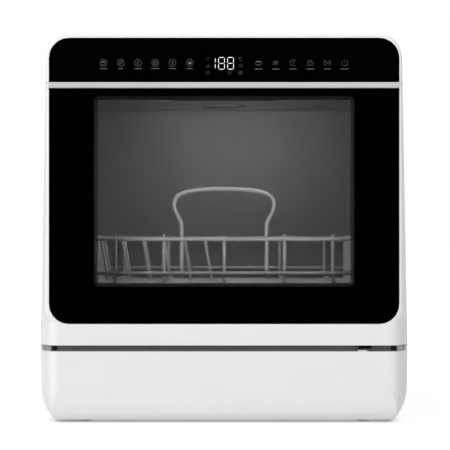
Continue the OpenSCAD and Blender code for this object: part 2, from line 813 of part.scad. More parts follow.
module water_tank() {
    color([0.7, 0.85, 0.95, 0.5]) difference() {
        union() {
            box([-190, 157, 112], [40, 196.8, 366]);
            cyl_z([fill_x, 172], 19.2, 366, 384);
        }
        box([-187, 160, 115], [37, 193.8, 363]);
        cyl_z([fill_x, 172], 17, 360, 390);
    }
}

// The bezel in the casing's top and the filler neck below it
module fill_port() {
    color("whitesmoke") difference() {
        union() {
            translate([fill_x, 0, body_h - 10]) linear_extrude(10)
                soft_rect([-46.8, 134.2], [46.8, 197.8], 7.8);
            cyl_z([fill_x, 172], 22, 384.2, body_h - 9);
        }
        cyl_z([fill_x, 172], 18, 380, body_h);
        // the lid's seat, and room for its hinge edge to turn
        box([fill_x - 42, 138, body_h - 5], [fill_x + 42, 195, body_h + 1]);
        cyl_x(fill_axis, 4.4, fill_x - 42, fill_x + 42);
        // finger notch
        translate([fill_x, 138, body_h]) sphere(9);
        cyl_x(fill_axis, 1.55, fill_x - 45, fill_x + 45);
    }
}

module fill_lid() {
    color("white") difference() {
        union() {
            box([fill_x - 41.5, 138.6, body_h - 4], [fill_x + 41.5, fill_axis[0], body_h]);
            cyl_x(fill_axis, 2.55, fill_x - 41.5, fill_x + 41.5);
            cyl_z([fill_x, 172], 15, body_h - 12, body_h - 4);
        }
        translate([fill_x, 138, body_h]) sphere(9);
    }
    color("silver") cyl_x(fill_axis, 1.5, fill_x - 44.5, fill_x + 44.5);
}

// Threaded water inlet, with its valve inside the rear panel
module inlet_valve() {
    color("white") difference() {
        union() {
            cyl_y(inlet_pos, inlet_r, back_y, back_y + port_l);
            cyl_y(inlet_pos, 17, panel_y, back_y);
            cyl_y(inlet_pos, 12.3, panel_y - 10, panel_y);
            box([inlet_pos[0] - 16, panel_y - 46, inlet_pos[1] - 14],
                [inlet_pos[0] + 16, panel_y - 9, inlet_pos[1] + 14]);
        }
        cyl_y(inlet_pos, 9, panel_y - 20, back_y + port_l + 1);
    }
}

module drain_port() {
    color([0.25, 0.25, 0.25]) difference() {
        union() {
            cyl_y(drain_pos, drain_r, back_y, back_y + port_l);
            cyl_y(drain_pos, 13, panel_y, back_y);
            cyl_y(drain_pos, 8.8, panel_y - 8, panel_y);
            cyl_y(drain_pos, 11, 186, panel_y - 3.2);
        }
        cyl_y(drain_pos, 6.5, 180, back_y + port_l + 1);
    }
}

// Where the mains lead goes in
module cord_gland() {
    color([0.1, 0.1, 0.1]) difference() {
        union() {
            cyl_y(gland_pos, 7.2, panel_y - 8, panel_y);
            cyl_y(gland_pos, 11, panel_y, panel_y + 4);
            cyl_y(gland_pos, 11, panel_y - 8, panel_y - 3.1);
        }
        cyl_y(gland_pos, 4, panel_y - 10, panel_y + 5);
    }
}

module fan_housing() {
    color([0.15, 0.15, 0.15]) {
        difference() {
            union() {
                cyl_z(fan_pos, 46, 384, 426);
                box([fan_pos[0] - 40, fan_pos[1], 390], [fan_pos[0] + 46, panel_y - 7.2, 420]);
                cyl_z(fan_pos, 24, tub_z1 + tub_skin + 0.1, 385);
            }
            cyl_z(fan_pos, 42, 387, 423);
            box([fan_pos[0] - 37, fan_pos[1], 393], [fan_pos[0] + 43, back_y, 417]);
            cyl_z(fan_pos, 20, 370, 390);
        }
        cyl_z(fan_pos, 1.95, 389, 425);
    }
}

module fan_wheel() {
    color("dimgray") translate([fan_pos[0], fan_pos[1], 0]) difference() {
        union() {
            cyl_z([0, 0], 36, 391, 394);
            cyl_z([0, 0], 9, 391, 420);
            for (a = [0:20:340]) rotate([0, 0, a]) translate([30, -1, 393]) cube([6, 2, 22]);
        }
        cyl_z([0, 0], 2, 388, 425);
    }
}

module power_board() {
    color("darkgreen") box([-170, -130, 392], [-40, 20, 394]);
    color("dimgray") {
        box([-160, -110, 394.1], [-130, -70, 420]);
        box([-110, -60, 394.1], [-80, -30, 415]);
        for (y = [-110, -80, -50]) cyl_z([-60, y], 8, 394.1, 424);
    }
    color("whitesmoke") for (x = [-166, -44], y = [-126, 16])
        cyl_z([x, y], 3, tub_z1 + tub_skin, 392);
}

// ---------- rack ----------

module rack_floor() {
    color("lightgray") {
        for (x = [-128, -71, 0, 71, 128])
            bar([x, rack_front_y, floor_z], [x, rack_back_y, floor_z]);
        for (s = [-1, 1])
            bar([s * rack_half_w, rack_front_y, floor_z], [s * rack_half_w, rack_back_y, floor_z]);
        for (y = floor_wire_y())
            bar([-rack_half_w, y, rack_low_z + wire_r], [rack_half_w, y, rack_low_z + wire_r]);
    }
}

// Upright wires in two rows, one gap for each plate
module rack_tines() {
    color("lightgray") for (i = [0:plate_count], row = [2, 4])
        bar([tine_x(i), floor_wire_y()[row], rack_low_z + wire_r],
            [tine_x(i) - 9, floor_wire_y()[row], rack_low_z + 56], r = 1.9);
}

function floor_wire_y() = [for (i = [0:6]) rack_front_y + 20 + i * (rack_d - 40) / 6];
function tine_x(i) = -140 + i * 25;

// The grille behind the window: two level wires in front of the uprights
module rack_front() {
    color("lightgray") {
        for (z = [mid_z, rim_z])
            bar([-rack_half_w, rack_front_y - 3.4, z], [rack_half_w, rack_front_y - 3.4, z]);
        for (x = [-128, -71, 0, 71, 128])
            bar([x, rack_front_y, floor_z], [x, rack_front_y, rim_z + 4]);
        for (s = [-1, 1])
            bar([s * rack_half_w, rack_front_y, floor_z], [s * rack_half_w, rack_front_y, rim_z + 1]);
    }
}

module rack_sides() {
    color("lightgray") for (s = [-1, 1]) {
        for (z = [mid_z + 2, rim_z])
            bar([s * rack_half_w, rack_front_y + 2.2, z], [s * rack_half_w, rack_back_y - 2.2, z]);
        for (y = floor_wire_y())
            bar([s * (rack_half_w - 3.4), y, rack_low_z + wire_r],
                [s * (rack_half_w - 3.4), y, rim_z + 2]);
    }
}

module rack_back() {
    color("lightgray") {
        for (z = [mid_z + 2, rim_z])
            bar([-rack_half_w, rack_back_y, z], [rack_half_w, rack_back_y, z]);
        for (x = [-128, -71, 0, 71, 128])
            bar([x, rack_back_y - 3.4, floor_z], [x, rack_back_y - 3.4, rim_z + 2]);
        for (s = [-1, 1])
            bar([s * rack_half_w, rack_back_y, floor_z], [s * rack_half_w, rack_back_y, rim_z + 1]);
    }
}

// Centreline of the front handle's left half, from its foot to its top, as X and height
handle_half = [
    [-50, 166.5], [-50, 200], [-50, 226], [-50.8, 231], [-53.4, 237], [-57, 244],
    [-58.8, 251], [-56.6, 259], [-49.5, 264.6], [-32, 268.6], [0, 270]];

function handle_points() = concat(
    [for (p = handle_half) [p[0], rack_front_y, p[1]]],
    [for (i = [len(handle_half) - 2:-1:0]) [-handle_half[i][0], rack_front_y, handle_half[i][1]]]);

// A flat-lying tube through points that share one Y, n sides
module flat_tube(points, r, n = 8) {
    last = len(points) - 1;
    rings = [for (i = [0:last])
        let (along = unit(points[min(i + 1, last)] - points[max(i - 1, 0)]),
             side = unit(cross(along, [0, 1, 0])))
        for (k = [0:n - 1]) points[i] + r * (cos(360 * k / n) * side + sin(360 * k / n) * [0, 1, 0])];
    walls = [for (i = [0:last - 1], k = [0:n - 1])
        for (f = [[i * n + k, (i + 1) * n + k, i * n + (k + 1) % n],
                  [i * n + (k + 1) % n, (i + 1) * n + k, (i + 1) * n + (k + 1) % n]]) f];
    caps = [[for (k = [0:n - 1]) k], [for (k = [n - 1:-1:0]) last * n + k]];
    polyhedron(points = rings, faces = concat(walls, caps));
}

module rack_handle() {
    color("lightgray") flat_tube(handle_points(), 2.3);
}

module rack_glides() {
    color("gray") for (s = [-1, 1], y = [rack_front_y + 24, rack_back_y - 60])
        box([s > 0 ? 156 : -169, y, rack_low_z + 0.2], [s > 0 ? 169 : -156, y + 30, rack_low_z + 10.4]);
}

// ---------- selection ----------

outer_shell();
rear_panel();
base_fascia();
base_plate();
feet();
foot_pads();
top_fascia();
control_glass();
control_board();
reveal_trim();
front_frame();
tub_shell();
tub_floor();
tub_gasket();
rack_rails();
sump();
coarse_filter();
spray_stub();
ceiling_nozzle();
hoses();
pump_volute();
pump_motor();
flow_heater();
drain_pump();
water_tank();
fill_port();
inlet_valve();
drain_port();
cord_gland();
fan_housing();
interior_lamp();
latch_switch();
hinge_brackets();
power_board();
casing_screws();
door_frame();
door_glass();
glass_print();
handle_strip();
window_tunnel();
inner_glass();
door_liner();
detergent_cup();
door_strike();
door_bumper();
hinge_pins();
detergent_lid();
rack_floor();
rack_tines();
rack_front();
rack_sides();
rack_back();
rack_handle();
rack_glides();
lower_spray_arm();
micro_filter();
pump_impeller();
fan_wheel();
fill_lid();
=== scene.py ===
"""Countertop dishwasher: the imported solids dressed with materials, round wires and touch symbols.

Lengths are in metres, but what is printed on the glass is drawn in millimetres.
"""

import json
import math

import bpy
import numpy as np
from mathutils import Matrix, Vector


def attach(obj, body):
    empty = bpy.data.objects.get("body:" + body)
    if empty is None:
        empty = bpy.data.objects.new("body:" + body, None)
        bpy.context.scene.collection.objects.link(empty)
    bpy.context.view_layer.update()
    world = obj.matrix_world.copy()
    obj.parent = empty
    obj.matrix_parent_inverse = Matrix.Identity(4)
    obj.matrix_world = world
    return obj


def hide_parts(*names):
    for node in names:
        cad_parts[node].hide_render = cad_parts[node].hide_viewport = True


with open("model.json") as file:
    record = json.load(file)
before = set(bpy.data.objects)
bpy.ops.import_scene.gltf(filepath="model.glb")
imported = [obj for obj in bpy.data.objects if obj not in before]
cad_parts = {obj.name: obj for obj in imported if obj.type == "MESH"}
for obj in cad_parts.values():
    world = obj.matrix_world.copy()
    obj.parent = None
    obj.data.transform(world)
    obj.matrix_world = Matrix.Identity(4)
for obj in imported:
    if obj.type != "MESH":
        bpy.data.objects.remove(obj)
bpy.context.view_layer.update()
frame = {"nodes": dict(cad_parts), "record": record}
nodes = frame["nodes"]

FRONT = -0.212          # the plane of the glass and the white front


# ---------- materials ----------

CLOUD_SCALE = 28.0      # of the mottling
RELIEF_DEPTH = 0.0002   # of the grain
ROUGH_SPAN = 0.06       # how far the gloss strays from its mean

MATERIALS = {}


def srgb(v):
    """Linear value of an 8-bit display level."""
    v = v / 255.0
    return v / 12.92 if v <= 0.04045 else ((v + 0.055) / 1.055) ** 2.4


def grey(level):
    """The grey of an 8-bit display level."""
    return (srgb(level),) * 3 + (1.0,)


def even(value):
    """The grey of a linear value."""
    return (value, value, value, 1.0)


class Nodes:
    """A node tree with short calls for the few nodes that the materials need."""

    def __init__(self, tree):
        self.tree = tree

    def join(self, output, socket):
        self.tree.links.new(output, socket)

    def new(self, kind, **inputs):
        node = self.tree.nodes.new(kind)
        for key, value in inputs.items():
            key = key.replace("_", " ")
            if isinstance(value, bpy.types.NodeSocket):
                self.join(value, node.inputs[key])
            else:
                node.inputs[key].default_value = value
        return node

    def math(self, operation, a, b=0.0, clamp=False):
        node = self.tree.nodes.new("ShaderNodeMath")
        node.operation = operation
        node.use_clamp = clamp
        for socket, value in zip(node.inputs, (a, b)):
            if isinstance(value, bpy.types.NodeSocket):
                self.join(value, socket)
            else:
                socket.default_value = value
        return node.outputs[0]

    def position(self):
        """Object coordinates, one output for each axis."""
        place = self.new("ShaderNodeTexCoord")
        return self.new("ShaderNodeSeparateXYZ", Vector=place.outputs["Object"]).outputs

    def noise(self, scale, detail, stretch=(1, 1, 1)):
        place = self.new("ShaderNodeTexCoord")
        mapping = self.new("ShaderNodeMapping", Vector=place.outputs["Object"])
        mapping.inputs["Scale"].default_value = stretch
        node = self.new("ShaderNodeTexNoise", Vector=mapping.outputs["Vector"], Scale=scale,
                        Detail=detail, Roughness=0.5)
        return node.outputs["Fac"]

    def ramp(self, fac, stops):
        node = self.new("ShaderNodeValToRGB", Fac=fac)
        elements = node.color_ramp.elements
        while len(elements) < len(stops):
            elements.new(0.5)
        for element, (position, colour) in zip(elements, stops):
            element.position = position
            element.color = colour
        return node.outputs["Color"]

    def span(self, fac, low, high):
        return self.new("ShaderNodeMapRange", Value=fac, To_Min=low, To_Max=high).outputs["Result"]


def material(name, colour, rough, metal=0.0, specular=0.5, vary=0.04, bump=0.05, grain=900.0,
             stretch=(1, 1, 1), coat=0.0, alpha=None, glow=None):
    """A moulded, painted or metal surface: mottled colour, uneven gloss and a fine grain in relief.

    vary is how far the mottling strays from the colour, as a share of it. bump is the strength of
    the grain and grain its scale. glow is a colour and a strength.
    """
    m = bpy.data.materials.new(name)
    m.use_nodes = True
    n = Nodes(m.node_tree)
    shader = m.node_tree.nodes["Principled BSDF"]
    cloud = n.noise(CLOUD_SCALE, 5.0)
    dark = tuple(c * (1 - vary) for c in colour[:3]) + (1.0,)
    light = tuple(min(c * (1 + vary), 1.0) for c in colour[:3]) + (1.0,)
    n.join(n.ramp(cloud, [(0.35, dark), (0.65, light)]), shader.inputs["Base Color"])
    fine = n.noise(grain, 3.0, stretch)
    n.join(n.span(fine, max(rough - ROUGH_SPAN, 0.02), min(rough + ROUGH_SPAN, 1.0)),
           shader.inputs["Roughness"])
    relief = n.new("ShaderNodeBump", Height=fine, Strength=bump, Distance=RELIEF_DEPTH)
    n.join(relief.outputs["Normal"], shader.inputs["Normal"])
    shader.inputs["Metallic"].default_value = metal
    shader.inputs["Specular IOR Level"].default_value = specular
    shader.inputs["Coat Weight"].default_value = coat
    shader.inputs["Coat Roughness"].default_value = 0.08
    if alpha is not None:
        shader.inputs["Alpha"].default_value = alpha
    if glow:
        shader.inputs["Emission Color"].default_value = glow[0]
        shader.inputs["Emission Strength"].default_value = glow[1]
    m.diffuse_color = colour
    MATERIALS[name] = m


# one for each material slot of the solids
material("white_casing", even(0.845), 0.30, vary=0.006, bump=0.02, grain=1400.0, coat=0.12)
material("panel_glass", (0.0005, 0.0005, 0.0006, 1), 0.04, specular=0.4, vary=0.1, bump=0.0)
material("print_black", even(0.0004), 0.7, specular=0.0, vary=0.1, bump=0.0)
material("reveal_grey", grey(112), 0.6, vary=0.05)
material("painted_frame", grey(205), 0.45, vary=0.02)
material("tub_steel", (0.40, 0.40, 0.395, 1), 0.42, metal=0.6, vary=0.03, bump=0.12, grain=60.0,
         stretch=(1, 30, 30))
material("strip_aluminium", (0.62, 0.635, 0.65, 1), 0.42, metal=0.3, vary=0.01, bump=0.05,
         grain=90.0, stretch=(1, 60, 60))
material("dark_plastic", grey(36), 0.5, vary=0.08, bump=0.15)
material("grey_plastic", grey(120), 0.5, vary=0.05, bump=0.1)
material("light_plastic", grey(178), 0.45, vary=0.04, bump=0.1)
material("fill_plastic", grey(226), 0.35, vary=0.02, bump=0.05)
material("seal_rubber", grey(44), 0.75, vary=0.1, bump=0.3)
material("hose_rubber", grey(22), 0.65, vary=0.1, bump=0.3)
material("screw_steel", (0.62, 0.62, 0.61, 1), 0.25, metal=1.0, vary=0.03, bump=0.04)
material("motor_steel", (0.34, 0.34, 0.345, 1), 0.42, metal=1.0, vary=0.08, bump=0.1)
material("hinge_steel", grey(20), 0.4, vary=0.1, bump=0.1)
material("rear_sheet", grey(212), 0.5, vary=0.02, bump=0.12)
material("circuit_board", (0.012, 0.09, 0.04, 1), 0.4, vary=0.15, bump=0.05)
material("rack_coating", grey(196), 0.34, vary=0.03, bump=0.05, coat=0.2)
material("tank_plastic", grey(224), 0.5, vary=0.03, alpha=0.75)
material("lamp_lens", grey(150), 0.4, vary=0.01, glow=((1.0, 0.99, 0.97, 1), 0.03))
material("spray_plastic", grey(138), 0.45, vary=0.04, bump=0.08)
material("filter_plastic", grey(196), 0.5, vary=0.04, bump=0.5, grain=2400.0)
material("impeller_plastic", (0.60, 0.56, 0.45, 1), 0.45, vary=0.04)
material("foot_plastic", grey(238), 0.5, vary=0.04)
material("foot_rubber", grey(58), 0.7, vary=0.1, bump=0.2)
material("bumper_rubber", grey(5), 0.8, specular=0.1, vary=0.1, bump=0.2)
material("tunnel_plastic", grey(112), 0.6, vary=0.1)
material("inner_glass", (0.75, 0.77, 0.77, 1), 0.06, specular=0.25, vary=0.02, bump=0.0, alpha=0.06)
material("door_glass", (0.0006, 0.0006, 0.0007, 1), 0.04, specular=0.4, vary=0.1, bump=0.0,
         alpha=0.50)

# for single pieces
material("nozzle_plastic", grey(114), 0.55, vary=0.04, bump=0.08)
material("display_digits", even(0.9), 0.5, vary=0.02, glow=((1.0, 1.0, 1.0, 1), 0.62))
material("symbol_print", grey(118), 0.6, specular=0.1, vary=0.08)
material("symbol_print_dim", grey(78), 0.6, specular=0.1, vary=0.08)
material("caption_print", grey(96), 0.6, specular=0.1, vary=0.08)


def dotted_edge(m, half_w, low, high, corner, width, pitch):
    """Fade the print out around the window in rows of dots, painted lighter near the window as
    painted light for the lit inside seen through them.

    half_w, low, high and corner are the clear part's half width, lower and upper edge and corner
    radius. t runs from 0 at its edge to 1 where the print is solid.
    """
    n = Nodes(m.node_tree)
    shader = m.node_tree.nodes["Principled BSDF"]
    place = n.position()
    x, z = place["X"], place["Z"]
    from_middle = n.math("ABSOLUTE", n.math("SUBTRACT", z, (low + high) / 2))
    dx = n.math("SUBTRACT", n.math("ABSOLUTE", x), half_w - corner)
    dz = n.math("SUBTRACT", from_middle, (high - low) / 2 - corner)
    ox, oz = n.math("MAXIMUM", dx, 0.0), n.math("MAXIMUM", dz, 0.0)
    away = n.math("SQRT", n.math("ADD", n.math("MULTIPLY", ox, ox), n.math("MULTIPLY", oz, oz)))
    t = n.math("DIVIDE", n.math("SUBTRACT", away, corner), width, clamp=True)
    turns = 2 * math.pi / pitch
    dots = n.math("MULTIPLY", n.math("SINE", n.math("MULTIPLY", x, turns)),
                  n.math("SINE", n.math("MULTIPLY", z, turns)))
    middle = n.math("MULTIPLY", n.math("MULTIPLY", t, n.math("SUBTRACT", 1.0, t)), 0.8)
    veil = n.math("MULTIPLY", n.math("POWER", t, 0.42), 0.88)
    solid = n.math("GREATER_THAN", t, 0.985)
    alpha = n.math("ADD", n.math("ADD", veil, solid), n.math("MULTIPLY", dots, middle), clamp=True)
    # painted light: the dots' colour is grey next to the window and black where the print is solid
    painted_glow = n.ramp(t, [(0.0, even(0.17)), (0.97, even(0.07)), (0.985, even(0.0004))])
    n.join(painted_glow, shader.inputs["Base Color"])
    n.join(alpha, shader.inputs["Alpha"])


def painted_light_ends(m, colour, start):
    """Painted light: lighter further than start from the middle, where daylight reaches round the
    strip's ends.
    """
    n = Nodes(m.node_tree)
    shader = m.node_tree.nodes["Principled BSDF"]
    base = shader.inputs["Base Color"].links[0].from_socket
    past = n.math("SUBTRACT", n.math("ABSOLUTE", n.position()["X"]), start)
    mix = n.new("ShaderNodeMix")
    mix.data_type = "RGBA"
    n.join(n.math("DIVIDE", past, 0.001, clamp=True), mix.inputs[0])
    n.join(base, mix.inputs[6])
    mix.inputs[7].default_value = colour
    n.join(mix.outputs[2], shader.inputs["Base Color"])


dotted_edge(MATERIALS["print_black"], half_w=0.1445, low=0.1619, high=0.3705, corner=0.001,
            width=0.0054, pitch=0.0021)
# painted light: the reveal's ends, where it wraps round the sides, are painted lighter
painted_light_ends(MATERIALS["reveal_grey"], grey(174), start=0.1985)


def smooth(mesh, degrees=32):
    """Shade faces that meet at less than this angle as one surface.

    Vertices at the same place count as one, so this also holds where the mesh is split.
    """
    count = len(mesh.loops)
    corner_vert = np.empty(count, np.int32)
    mesh.loops.foreach_get("vertex_index", corner_vert)
    co = np.empty(len(mesh.vertices) * 3)
    mesh.vertices.foreach_get("co", co)
    place = np.round(co.reshape(-1, 3) * 1e5).astype(np.int64)
    _, point = np.unique(place, axis=0, return_inverse=True)
    point = point.reshape(-1)[corner_vert]
    polys = len(mesh.polygons)
    total, area, normal = np.empty(polys, np.int32), np.empty(polys), np.empty(polys * 3)
    mesh.polygons.foreach_get("loop_total", total)
    mesh.polygons.foreach_get("area", area)
    mesh.polygons.foreach_get("normal", normal)
    owner = np.repeat(np.arange(polys), total)
    face_normal = normal.reshape(-1, 3)[owner]
    weight = np.maximum(area[owner], 1e-12)[:, None] * face_normal
    result = face_normal.copy()
    order = np.argsort(point, kind="stable")
    edges = np.flatnonzero(np.diff(point[order])) + 1
    limit = math.cos(math.radians(degrees))
    for group in np.split(order, edges):
        if len(group) > 1:
            near = face_normal[group] @ face_normal[group].T > limit
            summed = near @ weight[group]
            length = np.linalg.norm(summed, axis=1, keepdims=True)
            result[group] = np.where(length > 1e-15, summed / np.maximum(length, 1e-15),
                                     face_normal[group])
    mesh.polygons.foreach_set("use_smooth", [True] * polys)
    mesh.normals_split_custom_set(result.tolist())


slot_of = {s["node"]: s["material_slot"] for s in frame["record"]["subparts"]}
for name, obj in nodes.items():
    obj.data.materials.clear()
    finish = "nozzle_plastic" if name == "ceiling_nozzle" else slot_of[name]
    obj.data.materials.append(MATERIALS[finish])
    smooth(obj.data)


# ---------- mesh helpers ----------

def unit(v):
    return v / v.length if v.length else v


def sweep(points, radius, sides=12, domed=True):
    """Vertices and faces of a round wire along a path, with domed or flat ends."""
    points = [Vector(p) for p in points]
    n = len(points)
    tangents = [unit(points[min(i + 1, n - 1)] - points[max(i - 1, 0)]) for i in range(n)]
    side = tangents[0].orthogonal().normalized()
    rings = []
    for point, along in zip(points, tangents):
        side = unit(side - along * side.dot(along))
        rings.append((point, side.copy(), along.cross(side), radius))
    if domed:
        def dome(ring, away):
            point, s, u, r = ring
            return [(point + away * r * math.sin(t), s, u, r * math.cos(t))
                    for t in (math.radians(30), math.radians(60), math.radians(82))]
        start = dome(rings[0], -tangents[0])[::-1]
        end = dome(rings[-1], tangents[-1])
        rings = start + rings + end
    verts, faces = [], []
    for point, s, u, r in rings:
        for k in range(sides):
            a = 2 * math.pi * k / sides
            verts.append(point + s * (r * math.cos(a)) + u * (r * math.sin(a)))
    for i in range(len(rings) - 1):
        for k in range(sides):
            j = (k + 1) % sides
            faces.append((i * sides + k, i * sides + j, (i + 1) * sides + j, (i + 1) * sides + k))
    faces.append(tuple(range(sides))[::-1])
    faces.append(tuple((len(rings) - 1) * sides + k for k in range(sides)))
    return verts, faces


def spline(points, steps=5):
    """A Catmull-Rom curve through the points."""
    pts = [Vector(p) for p in points]
    pts = [pts[0] * 2 - pts[1]] + pts + [pts[-1] * 2 - pts[-2]]
    out = []
    for a, b, c, d in zip(pts, pts[1:], pts[2:], pts[3:]):
        for i in range(steps):
            t = i / steps
            out.append(0.5 * (2 * b + (c - a) * t + (2 * a - 5 * b + 4 * c - d) * t * t
                              + (3 * b - a - 3 * c + d) * t ** 3))
    out.append(pts[-2])
    return out


def build(name, parts, finish, body, replaces=(), rounded_off=True):
    """One object from several (vertices, faces) lists, riding on a body."""
    verts, faces = [], []
    for v, f in parts:
        base = len(verts)
        verts += [tuple(p) for p in v]
        faces += [tuple(i + base for i in face) for face in f]
    mesh = bpy.data.meshes.new(name)
    mesh.from_pydata(verts, [], faces)
    mesh.validate()
    mesh.update()
    mesh.materials.append(MATERIALS[finish])
    obj = bpy.data.objects.new(name, mesh)
    bpy.context.scene.collection.objects.link(obj)
    if rounded_off:
        smooth(mesh, 40)
    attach(obj, body)
    if replaces:
        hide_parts(*replaces)


# ---------- the rack: round coated wire in place of the eight-sided bars ----------

WIRE, TINE, HANDLE = 0.0022, 0.0018, 0.0023         # radii
CROSSED = 0.0034                                    # between the axes of two welded wires
HALF = 0.157                                        # half the rack's width
RACK_Y0, RACK_Y1 = -0.1398, 0.1322                  # its front and back
LOW = 0.156                                         # underside of the floor
CROSS_Z, FLOOR_Z = LOW + WIRE, 0.1618               # the floor's wires, across and along
MID_Z, RIM_Z = 0.171, 0.211                         # the level wires of the front
MID_Z_AROUND = MID_Z + 0.002                        # the lower one of the sides and back
CORNER_TOP, SIDE_TOP, FRONT_TOP = RIM_Z + 0.0005, RIM_Z + 0.0015, RIM_Z + 0.0035
UPRIGHT_X = (-0.128, -0.071, 0.0, 0.071, 0.128)
END_GAP = 0.020                                     # from the floor's first wire to the front
FLOOR_Y = [RACK_Y0 + END_GAP + i * (RACK_Y1 - RACK_Y0 - 2 * END_GAP) / 6 for i in range(7)]


def rack_part(name, wires, node):
    build(name, wires, "rack_coating", "rack", [node])


def uprights(y, corner_y, top):
    """The upright wires of the front or the back, with one at each corner."""
    out = [sweep([(x, y, FLOOR_Z), (x, y, top)], WIRE) for x in UPRIGHT_X]
    return out + [sweep([(x, corner_y, FLOOR_Z), (x, corner_y, CORNER_TOP)], WIRE)
                  for x in (-HALF, HALF)]


front_y = RACK_Y0 - CROSSED
front = [sweep([(-HALF, front_y, z), (HALF, front_y, z)], WIRE) for z in (MID_Z, RIM_Z)]
rack_part("rack_front_wires", front + uprights(RACK_Y0, RACK_Y0, FRONT_TOP), "rack_front")

back = [sweep([(-HALF, RACK_Y1, z), (HALF, RACK_Y1, z)], WIRE) for z in (MID_Z_AROUND, RIM_Z)]
rack_part("rack_back_wires", back + uprights(RACK_Y1 - CROSSED, RACK_Y1, SIDE_TOP), "rack_back")

sides = []
for side in (-1, 1):
    x, inner_x = side * HALF, side * (HALF - CROSSED)
    for z in (MID_Z_AROUND, RIM_Z):
        sides.append(sweep([(x, RACK_Y0 + WIRE, z), (x, RACK_Y1 - WIRE, z)], WIRE, domed=False))
    for y in FLOOR_Y:
        sides.append(sweep([(inner_x, y, CROSS_Z), (inner_x, y, SIDE_TOP)], WIRE))
rack_part("rack_side_wires", sides, "rack_sides")

floor_wires = [sweep([(x, RACK_Y0, FLOOR_Z), (x, RACK_Y1, FLOOR_Z)], WIRE, domed=False)
               for x in UPRIGHT_X + (-HALF, HALF)]
floor_wires += [sweep([(-HALF, y, CROSS_Z), (HALF, y, CROSS_Z)], WIRE, domed=False)
                for y in FLOOR_Y]
rack_part("rack_floor_wires", floor_wires, "rack_floor")

TINE_X0, TINE_PITCH, TINE_LEAN, TINE_TOP = -0.140, 0.025, 0.009, LOW + 0.0543
tines = []
for i in range(6):
    x = TINE_X0 + TINE_PITCH * i
    for y in (FLOOR_Y[2], FLOOR_Y[4]):
        tines.append(sweep([(x, y, CROSS_Z), (x - TINE_LEAN, y, TINE_TOP)], TINE))
rack_part("rack_tine_wires", tines, "rack_tines")

# one half of the handle's loop, from its foot to the middle of its top, in millimetres
HANDLE_PATH = [(-50, 166.5), (-50, 200), (-50, 226), (-50.8, 231), (-53.4, 237), (-57, 244),
               (-58.8, 251), (-56.6, 259), (-49.5, 264.6), (-32, 268.6), (0, 270)]
loop = [(x / 1000, RACK_Y0, z / 1000) for x, z in HANDLE_PATH]
loop += [(-x, y, z) for x, y, z in loop[-2::-1]]
rack_part("rack_handle_wire", [sweep(spline(loop), HANDLE, 14)], "rack_handle")


# ---------- the door's two top corners, beside the grip strip ----------

PLUG_IN, PLUG_START = 0.20150, 0.20155      # inner face, and where the rounding starts
PLUG_REACH = 0.00600                        # no wider than this
PLUG_R = 0.00245                            # rounding of the front edge
PLUG_ROUND, PLUG_FLARE = 0.0022, 0.086      # how deep the rounding goes, and the slope after it
PLUG_INSET, PLUG_BACK = 0.00004, 0.00003    # a hair inside the door's side and its front
PLUG_TOP = 0.39145


def corner_plug(side, depth, low, high):
    """A block beside the strip's end whose outer face carries on the door's rounded side."""
    outer = []
    for i in range(13):
        t = depth * i / 12
        if t < PLUG_ROUND:
            bulge = math.sqrt(max(PLUG_R ** 2 - (PLUG_R - t) ** 2, 0))
        else:
            bulge = PLUG_R + PLUG_FLARE * (t - PLUG_ROUND)
        outer.append((PLUG_START + min(bulge, PLUG_REACH) - PLUG_INSET, t + PLUG_BACK))
    plan = [(PLUG_IN, depth), (PLUG_IN, PLUG_BACK)] + outer
    n = len(plan)
    verts = [(side * x, FRONT + t, z) for z in (low, high) for x, t in plan]
    faces = [tuple(range(n)), tuple(range(2 * n - 1, n - 1, -1))]
    faces += [(i, n + i, n + (i + 1) % n, (i + 1) % n) for i in range(n)]
    return verts, faces if side > 0 else [f[::-1] for f in faces]


plugs = [corner_plug(side, depth, low, PLUG_TOP) for side in (-1, 1)
         for depth, low in ((0.0059, 0.38475), (0.0095, 0.38955))]
build("door_top_corners", plugs, "white_casing", "door")


# ---------- printed symbols and the display, on the glass above the door ----------

PRINT_Y = FRONT - 0.00004       # just proud of the glass


def ribbon(points, width, closed=False):
    """A flat stroke in the plane of the glass, through (x, z) points."""
    pts = [Vector(p) / 1000 for p in points]
    n = len(pts)
    verts, faces = [], []
    for i, p in enumerate(pts):
        a = pts[i - 1] if (i or closed) else p
        b = pts[(i + 1) % n] if (i < n - 1 or closed) else p
        d1, d2 = unit(p - a), unit(b - p)
        d = unit(d1 + d2) if (d1 + d2).length > 1e-6 else d1
        side = Vector((-d.y, d.x)) * (width / 2000)
        if d1.length and d2.length:
            side /= max(math.cos(d1.angle(d2, 0.0) / 2), 0.5)
        for q in (p + side, p - side):
            verts.append((q.x, PRINT_Y, q.y))
    for i in range(n if closed else n - 1):
        j = (i + 1) % n
        faces.append((2 * i, 2 * j, 2 * j + 1, 2 * i + 1))
    return verts, faces


def patch(points):
    """A filled shape in the plane of the glass."""
    return [(x / 1000, PRINT_Y, z / 1000) for x, z in points], [tuple(range(len(points)))]


def ring(cx, cz, r, a0=0.0, a1=360.0, n=36):
    """Points on a circle, or on an arc of it with both its ends."""
    count = n if abs(a1 - a0) >= 360 else n + 1
    return [(cx + r * math.cos(math.radians(a0 + (a1 - a0) * i / n)),
             cz + r * math.sin(math.radians(a0 + (a1 - a0) * i / n))) for i in range(count)]


def at(cx, cz, points):
    return [(cx + x, cz + z) for x, z in points]


def printed(name, shapes, finish):
    build(name, shapes, finish, "cabinet", rounded_off=False)


SYMBOL_Z = 413.8                                    # middle of the touch symbols
SYMBOL_X = [39.5 + 19.78 * i for i in range(6)]     # and their distances from the middle
STROKE = 0.21                                       # width of a thin stroke
marks = []


def line(cx, points, bold=1.0, closed=False):
    """A stroke of the symbol at cx, drawn about the symbol's middle."""
    marks.append(ribbon(at(cx, SYMBOL_Z, points), STROKE * bold, closed))


def fill(cx, points):
    marks.append(patch(at(cx, SYMBOL_Z, points)))


